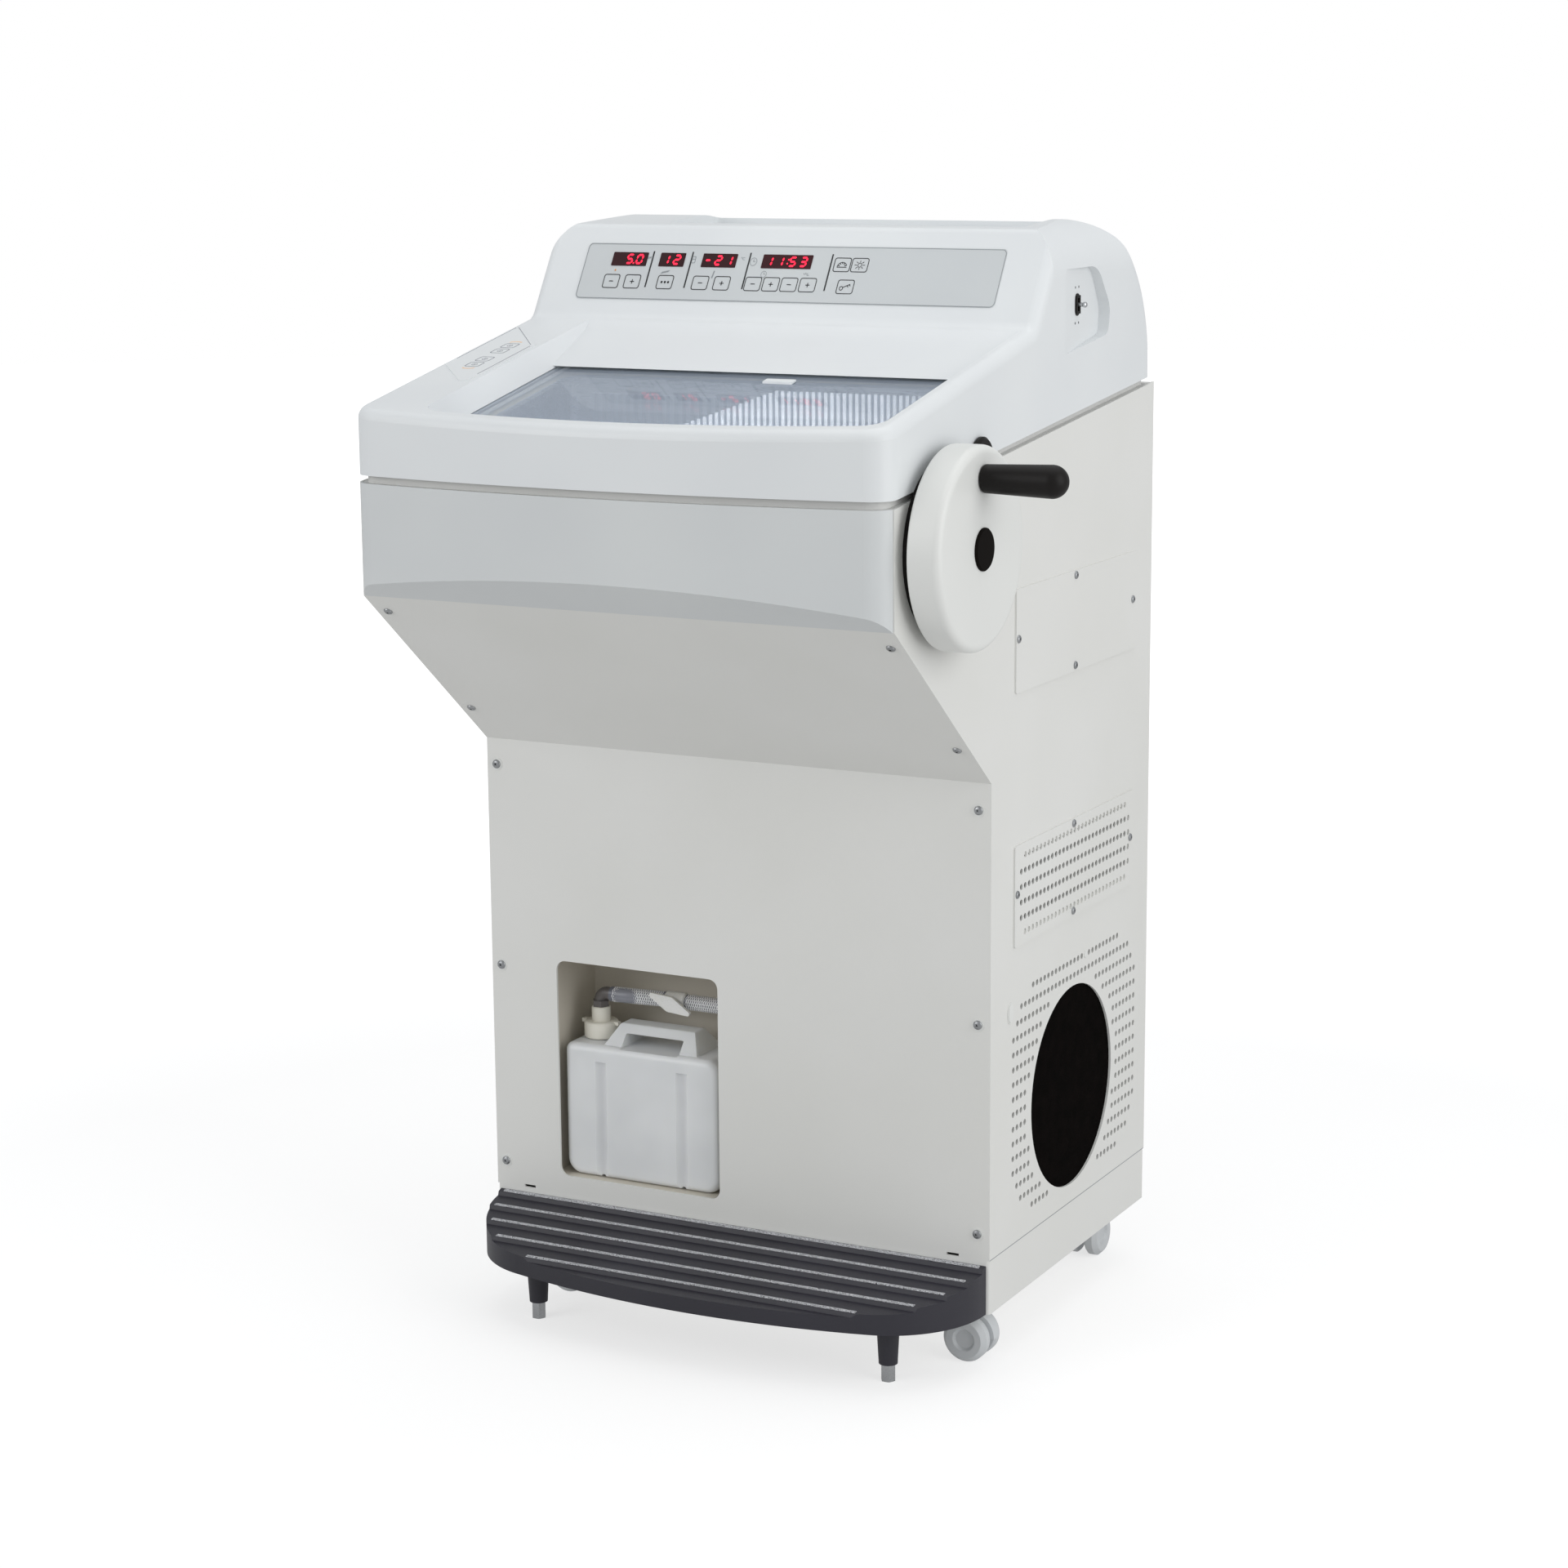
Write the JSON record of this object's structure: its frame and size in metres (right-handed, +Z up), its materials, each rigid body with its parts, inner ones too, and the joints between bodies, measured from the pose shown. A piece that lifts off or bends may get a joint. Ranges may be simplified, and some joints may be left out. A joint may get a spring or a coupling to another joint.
{
  "type": "cryostat",
  "caption": "Floor-standing cryostat: cabinet with an overhanging cold chamber under a sliding window, hood with control panel, handwheel, waste bottle recess, footrest and castors.",
  "frame": {"origin": "on the floor, under the centre of the whole part's bounding box", "axes": "+Z up, +Y to the back of the instrument, +X to the side of the handwheel"},
  "size_m": [0.733, 0.723, 1.1826],
  "materials": {
    "white_paint": "satin",
    "grey_paint": "satin",
    "shell_plastic": "satin",
    "cover_plastic": "satin",
    "membrane": "matte",
    "dark_plastic": "matte",
    "footrest_plastic": "matte",
    "wheel_plastic": "satin",
    "castor_plastic": "gloss",
    "window_glass": "gloss",
    "clear_plastic": "gloss",
    "steel": "brushed",
    "galvanised": "satin",
    "cold_aluminium": "satin",
    "foam": "matte",
    "liner_plastic": "satin",
    "bottle_plastic": "satin",
    "cap_plastic": "satin",
    "elbow_plastic": "gloss",
    "filter_mesh": "matte",
    "black_paint": "satin"
  },
  "bodies": {
    "cabinet": {"base_plinth": "white_paint", "side_panel_left": "white_paint", "side_panel_right": "white_paint", "service_cover": "white_paint", "vent_cover": "white_paint", "intake_mesh": "filter_mesh", "lower_front_panel": "white_paint", "slanted_panel": "white_paint", "front_cover": "cover_plastic", "deck": "grey_paint", "back_panel": "white_paint", "mains_gland": "dark_plastic", "rear_bumpers": "dark_plastic", "upper_shell": "shell_plastic", "control_membrane": "membrane", "armrest_keypad": "membrane", "window_rails": "shell_plastic", "chamber_foam": "foam", "chamber_tub": "steel", "cold_plate": "cold_aluminium", "microtome_housing": "cold_aluminium", "knife_base": "cold_aluminium", "blade_clamp": "steel", "shaft_bearing": "dark_plastic", "switch_base": "dark_plastic", "condenser": "galvanised", "fan_shroud": "galvanised", "compressor": "black_paint", "recess_liner": "liner_plastic", "footrest": "footrest_plastic"},
    "window": {"window_pane": "window_glass", "window_catch": "shell_plastic"},
    "specimen_carriage": {"specimen_slide": "steel"},
    "specimen_head": {"feed_cylinder": "steel", "specimen_disc": "steel"},
    "anti_roll_guide": {"anti_roll_guide": "clear_plastic"},
    "handwheel": {"wheel_shaft": "steel", "handwheel": "wheel_plastic", "hub_cap": "dark_plastic"},
    "grip": {"wheel_grip": "dark_plastic"},
    "brake_lever": {"brake_lever": "dark_plastic"},
    "toggle_lever": {"toggle_lever": "steel"},
    "condenser_fan": {"fan_rotor": "dark_plastic"},
    "bottle": {"waste_bottle": "bottle_plastic", "bottle_cap": "cap_plastic", "hose_adapter": "cap_plastic", "hose_elbow": "elbow_plastic", "drain_hose": "clear_plastic", "tap_body": "cap_plastic"},
    "tap_handle": {"tap_handle": "clear_plastic"},
    "foot_left": {"foot_left": "steel"},
    "foot_right": {"foot_right": "steel"},
    "castor_front_left": {"castor_front_left": "castor_plastic"},
    "wheels_front_left": {"castor_wheels_front_left": "castor_plastic"},
    "castor_front_right": {"castor_front_right": "castor_plastic"},
    "wheels_front_right": {"castor_wheels_front_right": "castor_plastic"},
    "castor_back_left": {"castor_back_left": "castor_plastic"},
    "wheels_back_left": {"castor_wheels_back_left": "castor_plastic"},
    "castor_back_right": {"castor_back_right": "castor_plastic"},
    "wheels_back_right": {"castor_wheels_back_right": "castor_plastic"}
  },
  "joints": [
    {"name": "window_slide", "type": "slide", "parent": "cabinet", "child": "window", "axis": [0, 0.9796, 0.2008], "range_m": [0, 0.2]},
    {"name": "specimen_stroke", "type": "slide", "parent": "cabinet", "child": "specimen_carriage", "axis": [0, 0, 1], "range_m": [-0.0295, 0.0295]},
    {"name": "specimen_feed", "type": "slide", "parent": "specimen_carriage", "child": "specimen_head", "axis": [0, -1, 0], "range_m": [0, 0.025]},
    {"name": "anti_roll_hinge", "type": "hinge", "parent": "cabinet", "child": "anti_roll_guide", "pos_m": [-0.0555, -0.31216, 0.88657], "axis": [1, 0, 0], "range_deg": [0, 75]},
    {"name": "wheel_turn", "type": "hinge", "parent": "cabinet", "child": "handwheel", "pos_m": [0.2615, -0.2195, 0.886], "axis": [1, 0, 0], "continuous": true},
    {"name": "grip_turn", "type": "hinge", "parent": "handwheel", "child": "grip", "pos_m": [0.3135, -0.2195, 0.954], "axis": [1, 0, 0], "continuous": true},
    {"name": "brake_turn", "type": "hinge", "parent": "cabinet", "child": "brake_lever", "pos_m": [0.2375, -0.2195, 0.886], "axis": [1, 0, 0], "range_deg": [-20, 20]},
    {"name": "toggle_tip", "type": "hinge", "parent": "cabinet", "child": "toggle_lever", "pos_m": [0.22417, 0.1285, 1.097], "axis": [0, 1, 0], "range_deg": [-12, 12]},
    {"name": "fan_turn", "type": "hinge", "parent": "cabinet", "child": "condenser_fan", "pos_m": [0.1445, 0.124, 0.186], "axis": [1, 0, 0], "continuous": true},
    {"name": "bottle_pull", "type": "slide", "parent": "cabinet", "child": "bottle", "axis": [0, -1, 0], "range_m": [0, 0.12]},
    {"name": "tap_turn", "type": "hinge", "parent": "bottle", "child": "tap_handle", "pos_m": [-0.164, -0.0545, 0.3443], "axis": [0, 1, 0], "range_deg": [0, 90]},
    {"name": "foot_left_screw", "type": "slide", "parent": "cabinet", "child": "foot_left", "axis": [0, 0, -1], "range_m": [0, 0.01]},
    {"name": "foot_right_screw", "type": "slide", "parent": "cabinet", "child": "foot_right", "axis": [0, 0, -1], "range_m": [0, 0.01]},
    {"name": "swivel_front_left", "type": "hinge", "parent": "cabinet", "child": "castor_front_left", "pos_m": [-0.3105, -0.0545, 0.058], "axis": [0, 0, 1], "continuous": true},
    {"name": "roll_front_left", "type": "hinge", "parent": "castor_front_left", "child": "wheels_front_left", "pos_m": [-0.2925, -0.0545, 0.025], "axis": [0, 1, 0], "continuous": true},
    {"name": "swivel_front_right", "type": "hinge", "parent": "cabinet", "child": "castor_front_right", "pos_m": [0.1775, -0.0545, 0.058], "axis": [0, 0, 1], "continuous": true},
    {"name": "roll_front_right", "type": "hinge", "parent": "castor_front_right", "child": "wheels_front_right", "pos_m": [0.1955, -0.0545, 0.025], "axis": [0, 1, 0], "continuous": true},
    {"name": "swivel_back_left", "type": "hinge", "parent": "cabinet", "child": "castor_back_left", "pos_m": [-0.3105, 0.2885, 0.058], "axis": [0, 0, 1], "continuous": true},
    {"name": "roll_back_left", "type": "hinge", "parent": "castor_back_left", "child": "wheels_back_left", "pos_m": [-0.3105, 0.3065, 0.025], "axis": [1, 0, 0], "continuous": true},
    {"name": "swivel_back_right", "type": "hinge", "parent": "cabinet", "child": "castor_back_right", "pos_m": [0.1775, 0.2885, 0.058], "axis": [0, 0, 1], "continuous": true},
    {"name": "roll_back_right", "type": "hinge", "parent": "castor_back_right", "child": "wheels_back_right", "pos_m": [0.1775, 0.3065, 0.025], "axis": [1, 0, 0], "continuous": true}
  ]
}
